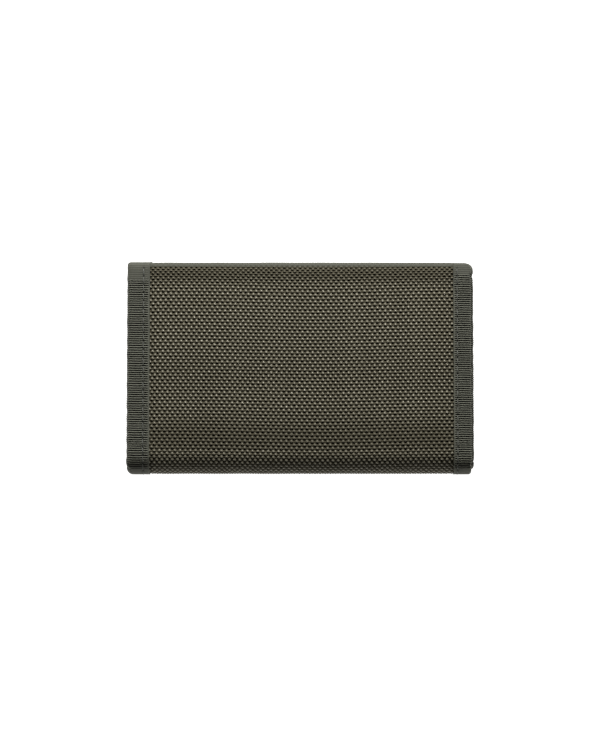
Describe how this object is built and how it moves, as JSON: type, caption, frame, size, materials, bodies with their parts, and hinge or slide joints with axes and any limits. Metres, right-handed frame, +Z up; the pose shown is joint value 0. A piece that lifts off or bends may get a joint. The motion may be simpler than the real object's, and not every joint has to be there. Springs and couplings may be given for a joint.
{
  "type": "bifold wallet",
  "caption": "Folding nylon wallet with tape-bound sides, a round spine, a note compartment, card pockets, a zipped coin pocket and hook-and-loop closure.",
  "frame": {"origin": "middle of the closed wallet's footprint, on the surface it lies on", "axes": "+X along the spine, +Y from the spine to the free edges, +Z up through the closed wallet's thickness"},
  "size_m": [0.13, 0.08, 0.017],
  "materials": {
    "shell_cloth": "coarse plain-woven nylon",
    "lining_cloth": "fine plain-woven nylon",
    "binding_tape": "ribbed grosgrain",
    "pocket_cloth": "fine woven nylon",
    "closure_strip": "hook and loop pile",
    "zip_tape": "herringbone woven polyester",
    "zip_teeth": "moulded nylon coil",
    "zip_metal": "dark nickel plating"
  },
  "bodies": {
    "front": {"front_shell": "shell_cloth", "front_lining": "lining_cloth", "front_binding_left": "binding_tape", "front_shell_binding_right": "binding_tape", "front_lining_binding_right": "binding_tape", "card_pocket_rear": "pocket_cloth", "card_pocket_middle": "pocket_cloth", "card_pocket_front": "pocket_cloth", "card_pocket_rear_edging": "binding_tape", "card_pocket_middle_edging": "binding_tape", "card_pocket_front_edging": "binding_tape", "hook_strip": "closure_strip"},
    "spine": {"spine_shell": "shell_cloth", "spine_lining": "lining_cloth", "spine_binding_left": "binding_tape", "spine_shell_binding_right": "binding_tape", "spine_lining_binding_right": "binding_tape"},
    "back": {"back_shell": "shell_cloth", "back_lining": "lining_cloth", "back_binding_left": "binding_tape", "back_shell_binding_right": "binding_tape", "back_lining_binding_right": "binding_tape", "loop_strip": "closure_strip", "coin_pocket_panel": "pocket_cloth", "coin_pocket_facing": "pocket_cloth", "zip_tape_upper": "zip_tape", "zip_tape_lower": "zip_tape", "zip_teeth_upper": "zip_teeth", "zip_teeth_lower": "zip_teeth", "zip_stop_left": "zip_metal", "zip_stop_right": "zip_metal"},
    "zip_slider": {"zip_slider": "zip_metal", "zip_pull": "zip_metal"}
  },
  "joints": [
    {"name": "spine_fold", "type": "hinge", "parent": "front", "child": "spine", "pos_m": [0, -0.04, 0], "axis": [1, 0, 0], "range_deg": [0, 90]},
    {"name": "back_fold", "type": "hinge", "parent": "spine", "child": "back", "pos_m": [0, -0.04, 0.01794], "axis": [1, 0, 0], "range_deg": [0, 96]},
    {"name": "zip_slide", "type": "slide", "parent": "back", "child": "zip_slider", "axis": [-1, 0, 0], "range_m": [0, 0.085]}
  ],
  "couplings": [
    {"joint": "spine_fold", "follows": "back_fold", "ratio": 0.9375}
  ]
}
